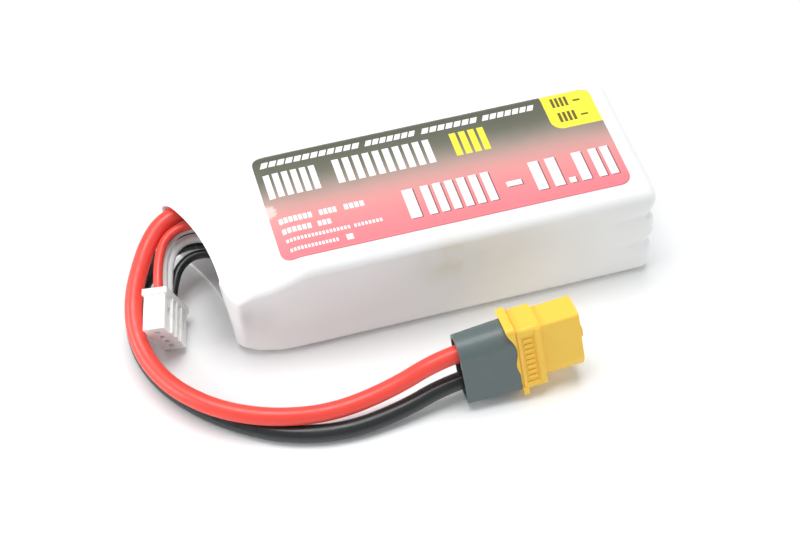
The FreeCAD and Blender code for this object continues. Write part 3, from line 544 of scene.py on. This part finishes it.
def sleeve_stations():
    """Corner sets from the far end to the mouth, eased between the key sections."""
    keys = np.array([corners for corners, sizes in SLEEVE_KEYS])
    radii = np.array([sizes for corners, sizes in SLEEVE_KEYS]) * MM
    middles = -keys[:, :, 0].mean(axis=1)
    count = int((middles[-1] - middles[0]) / STATION_STEP)
    stations = np.linspace(middles[0], middles[-1], count)
    corners = np.empty((count, 4, 3))
    for i in range(4):
        for axis in range(3):
            corners[:, i, axis] = np.interp(stations, middles, keys[:, i, axis])
    sizes = np.stack([np.interp(stations, middles, radii[:, i]) for i in range(4)], axis=1)
    for _ in range(CREASE_SMOOTHING):
        corners[1:-1] = (corners[:-2] + 2 * corners[1:-1] + corners[2:]) / 4
    return corners, sizes


def trim_mouth(grid):
    """Ends each line of the mouth on a leaning drum, which curves the rim inward."""
    rows = len(grid)
    counts = np.arange(rows)
    for column in range(grid.shape[1]):
        path = grid[:, column]
        x, y, z = path.T
        axis_x = MOUTH_CURVE_CENTRE[0] + MOUTH_CURVE_LEAN * z
        drum = axis_x + np.sqrt(MOUTH_CURVE_RADIUS ** 2 - (y - MOUTH_CURVE_CENTRE[1]) ** 2)
        past = drum - x
        crossed = np.nonzero((past[1:] > 0) & (past[:-1] <= 0))[0]
        if len(crossed):
            last = crossed[0]
            end = last - past[last] / (past[last + 1] - past[last])
            steps = np.linspace(0, end, rows)
            grid[:, column] = np.stack([np.interp(steps, counts, path[:, i]) for i in range(3)], axis=1)
    return grid


def sleeve_end(ring):
    """Rings that close the far end from the last full outline to the hole."""
    rings = []
    middle = np.array([0.0, 0.0, HEIGHT / 2])
    away = ring - middle
    angle = np.arctan2(away[:, 2] / END_HOLE[1], away[:, 1] / END_HOLE[0])
    hole_y = np.sign(np.cos(angle)) * np.abs(np.cos(angle)) ** 0.6 * END_HOLE[0]
    hole_z = np.sign(np.sin(angle)) * np.abs(np.sin(angle)) ** 0.6 * END_HOLE[1] + HEIGHT / 2
    for step in range(1, END_RINGS + 1):
        share = step / END_RINGS
        inward = share ** 1.5
        y = ring[:, 1] + (hole_y - ring[:, 1]) * inward
        z = ring[:, 2] + (hole_z - ring[:, 2]) * inward
        depth = np.hypot(y - ring[:, 1], z - ring[:, 2])
        lack = np.clip(1 - depth / END_ROUND, 0, 1)
        x = FAR_END - END_ROUND * (1 - np.sqrt(np.clip(1 - lack ** 2, 0, 1)))
        rings.append(np.stack([x, y, z], axis=1))
    return rings[::-1]


def lobe_valley(z):
    """1 in the valley between two cells, falling to 0 on their round ends."""
    valley = np.zeros_like(z)
    for level in LOBE_VALLEYS:
        away = np.hypot(z - level, 0.35 * MM)
        lack = np.clip(1 - away / LOBE_ROUND, 0, 1)
        valley = np.maximum(valley, 1 - np.sqrt(1 - lack ** 2))
    return valley


def sleeve_normals(grid):
    """Outward directions on a grid of closed rings."""
    round_way = np.roll(grid, -1, axis=1) - np.roll(grid, 1, axis=1)
    along = np.gradient(grid, axis=0)
    normals = np.cross(along, round_way)
    return normals / np.maximum(np.linalg.norm(normals, axis=2, keepdims=True), 1e-12)


def film_relief(points):
    """How far the shrunk film stands proud of its plain form, in metres."""
    x, y, z = points.T
    off_floor = smoothstep(z, 0.5 * MM, 4 * MM)
    lead_end = smoothstep(-x, 27 * MM, 37 * MM)
    far_end = smoothstep(x, 38 * MM, 48 * MM)
    flat_top = smoothstep(z, HEIGHT - 1.5 * MM, HEIGHT - 0.3 * MM) * (1 - lead_end) * (1 - far_end)
    broad = wander(points * np.array([0.5, 1.0, 1.0]), 9 * MM, 3.1)
    fine = wander(points, 3.2 * MM, 7.7)
    size = 0.10 * MM + 0.16 * MM * lead_end + 0.10 * MM * far_end
    relief_size = size * (1 - 0.8 * flat_top)
    bands = 0.10 * MM * lobe_valley(z) * smoothstep(np.abs(y), 15 * MM, 16.8 * MM)
    dent_away = np.linalg.norm((points - DENT_MIDDLE) / DENT_SIZE, axis=1)
    dent = DENT_DEPTH * (1 - smoothstep(dent_away, 0.0, 1.0))
    return off_floor * (relief_size * broad + 0.3 * size * fine * (lead_end + far_end) - bands - dent)


def shrink_sleeve():
    """The white sleeve: body, lobed far end with its hole, and the creased open mouth."""
    corners, sizes = sleeve_stations()
    body = np.array([outline(corner_set, radii) for corner_set, radii in zip(corners, sizes)])
    start = np.argmax(body[:, :, 0].max(axis=1) < TRIM_START)
    body[start:] = trim_mouth(body[start:])
    grid = np.array(sleeve_end(body[0]) + list(body))
    normals = sleeve_normals(grid)
    rows, columns = grid.shape[:2]
    points = grid.reshape(-1, 3)
    # the plain form is the film's inner face
    heights = film_relief(points) + FILM
    points = points + normals.reshape(-1, 3) * heights[:, None]
    valley = lobe_valley(points[:, 2])
    near_end = smoothstep(points[:, 0], FAR_END - 7 * MM, FAR_END - 0.5 * MM)
    side = smoothstep(np.abs(points[:, 1]), 11 * MM, 17 * MM) * np.sign(points[:, 1])
    reach = np.interp(points[:, 2], LOBE_MIDDLES, LOBE_REACH)
    points[:, 0] += (reach - LOBE_DEPTH * valley) * near_end
    dip = LOBE_SIDE_DIP * valley * smoothstep(points[:, 0], FAR_END - 13 * MM, FAR_END - 3 * MM)
    points[:, 1] -= dip * side
    points[:, 2] = np.maximum(points[:, 2], 0.0)
    piece = mesh_piece("sleeve_film", points, ring_faces(rows, columns), "shrink_film")
    solid = piece.modifiers.new("film", "SOLIDIFY")
    solid.thickness = FILM
    solid.offset = -1.0
    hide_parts("shrink_sleeve")
    return piece


sleeve = shrink_sleeve()

# ------------------------------------------------------------------ label
LABEL_LOW, LABEL_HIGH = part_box("top_label")
LABEL_BACK = 16.0 * MM
LABEL_CORNER = 2.7 * MM
LABEL_LIFT = 0.05 * MM
LABEL_STEP = 0.5 * MM


def evaluated_tree(piece):
    """Search tree of a piece's final surface."""
    bpy.context.view_layer.update()
    return BVHTree.FromObject(piece, bpy.context.evaluated_depsgraph_get())


def corner_inset(x):
    """How far a label's side stands in at x, because its corners are round."""
    from_end = min(x - LABEL_LOW.x, LABEL_HIGH.x - x)
    lack = max(0.0, LABEL_CORNER - from_end)
    return LABEL_CORNER - math.sqrt(max(0.0, LABEL_CORNER ** 2 - lack ** 2))


def label_stations():
    """Places along the label, closer together at its round corners."""
    length = LABEL_HIGH.x - LABEL_LOW.x
    turns = [LABEL_CORNER * (1 - math.cos(math.pi / 2 * i / 12)) for i in range(12)]
    count = int((length - 2 * LABEL_CORNER) / LABEL_STEP)
    straight = [LABEL_CORNER + (length - 2 * LABEL_CORNER) * i / count for i in range(count + 1)]
    ends = [length - t for t in reversed(turns)]
    return [LABEL_LOW.x + t for t in turns + straight + ends]


def top_label():
    """Printed film that follows the sleeve's top and turns over its back edge."""
    surface = evaluated_tree(sleeve)
    columns = int((LABEL_BACK - LABEL_LOW.y) / LABEL_STEP)
    points = []
    stations = label_stations()
    for x in stations:
        inset = corner_inset(x)
        front = LABEL_LOW.y + inset
        back = LABEL_BACK - inset
        for column in range(columns + 1):
            y = front + (back - front) * column / columns
            place, normal, *_ = surface.ray_cast(Vector((x, y, 2 * HEIGHT)), Vector((0, 0, -1)))
            points.append(place + normal * LABEL_LIFT)
    faces = []
    width = columns + 1
    for row in range(len(stations) - 1):
        for column in range(columns):
            start = row * width + column
            faces.append((start, start + width, start + width + 1, start + 1))
    piece = mesh_piece("label_film", points, faces, "label")
    solid = piece.modifiers.new("film", "SOLIDIFY")
    solid.thickness = 0.05 * MM
    solid.offset = 1.0
    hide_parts("top_label")


top_label()

# ------------------------------------------------------------------ leads
LEAD_SLOTS = {"positive": "lead_red", "negative": "lead_black"}
WIRE_SLOTS = ("lead_red", "wire_white", "wire_white", "lead_black")


def leads():
    """Both power leads and the four balance wires."""
    for pole, route in (("positive", ROUTE_POSITIVE), ("negative", ROUTE_NEGATIVE)):
        cord = make_cord("main_lead_" + pole, route, LEAD_DIAMETER)
        cord.data.materials.append(MATERIALS[LEAD_SLOTS[pole]])
    for i, route in enumerate(BALANCE_ROUTES):
        number = str(i + 1)
        cord = make_cord("balance_wire_" + number, route, WIRE_DIAMETER)
        cord.data.materials.append(MATERIALS[WIRE_SLOTS[i]])


leads()


# ------------------------------------------------------------------ CAD nodes that stay
def soften(piece, width, angle=35.0):
    """Rounds a CAD node's sharp edges, which leaves its own mesh as it is."""
    weld = piece.modifiers.new("weld", "WELD")
    weld.merge_threshold = 0.002 * MM
    bevel = piece.modifiers.new("round edges", "BEVEL")
    bevel.width = width
    bevel.segments = 3
    bevel.limit_method = "ANGLE"
    bevel.angle_limit = math.radians(angle)
    bevel.harden_normals = True


SOFT_EDGES = {"balance_plug_housing": 0.12 * MM, "main_connector_housing": 0.22 * MM,
              "connector_rear_cap": 0.20 * MM, "terminal_foam": 0.25 * MM, "terminal_board": 0.08 * MM}


def carried_nodes():
    """Every CAD node gets its slot's material; moulded ones get rounder edges."""
    for part in frame["record"]["subparts"]:
        piece = frame["nodes"][part["node"]]
        piece.data.materials.clear()
        piece.data.materials.append(MATERIALS[part["material_slot"]])
        if part["node"] in SOFT_EDGES:
            soften(piece, SOFT_EDGES[part["node"]])


carried_nodes()


# ------------------------------------------------------------------ floor, light and world
FLOOR_SIZE = 3.0


def floor_material():
    """Matt white paper."""
    material, tree, shader, place = new_material("floor")
    drift = speckle(tree, place, 60.0)
    feed(tree, shader.inputs["Base Color"],
         blend_colour(tree, drift, (0.90, 0.91, 0.91, 1.0), (0.93, 0.93, 0.93, 1.0)))
    shader.inputs["Roughness"].default_value = 0.75
    return material


def make_floor():
    """Wide pale floor at the height that the pack lies on."""
    half = FLOOR_SIZE / 2
    data = bpy.data.meshes.new("floor")
    data.from_pydata([(-half, -half, 0), (half, -half, 0), (half, half, 0), (-half, half, 0)], [],
                     [(0, 1, 2, 3)])
    data.materials.append(floor_material())
    floor = bpy.data.objects.new("floor", data)
    bpy.context.scene.collection.objects.link(floor)


def area_light(name, place, target, size, power, colour=(1.0, 1.0, 1.0)):
    """Soft rectangular light aimed at a point."""
    data = bpy.data.lights.new(name, "AREA")
    data.shape = "RECTANGLE"
    data.size, data.size_y = size
    data.energy = power
    data.color = colour
    light = bpy.data.objects.new(name, data)
    bpy.context.scene.collection.objects.link(light)
    light.location = place
    light.rotation_euler = (Vector(target) - Vector(place)).to_track_quat("-Z", "Y").to_euler()


def make_world():
    """Even white surround."""
    world = bpy.data.worlds.new("surround")
    world.use_nodes = True
    world.node_tree.nodes["Background"].inputs["Color"].default_value = (0.93, 0.97, 1.0, 1.0)
    world.node_tree.nodes["Background"].inputs["Strength"].default_value = 0.36
    bpy.context.scene.world = world


make_floor()
make_world()
area_light("overhead", (-0.05, 0.16, 1.15), (0.0, 0.0, 0.0), (0.90, 0.60), 10.4)
area_light("right_fill", (0.60, -0.35, 0.30), (0.03, -0.02, 0.01), (0.40, 0.30), 0.9)
area_light("left_fill", (-0.60, 0.05, 0.26), (-0.05, 0.0, 0.01), (0.50, 0.30), 2.5)
bpy.context.scene.view_settings.view_transform = "Standard"
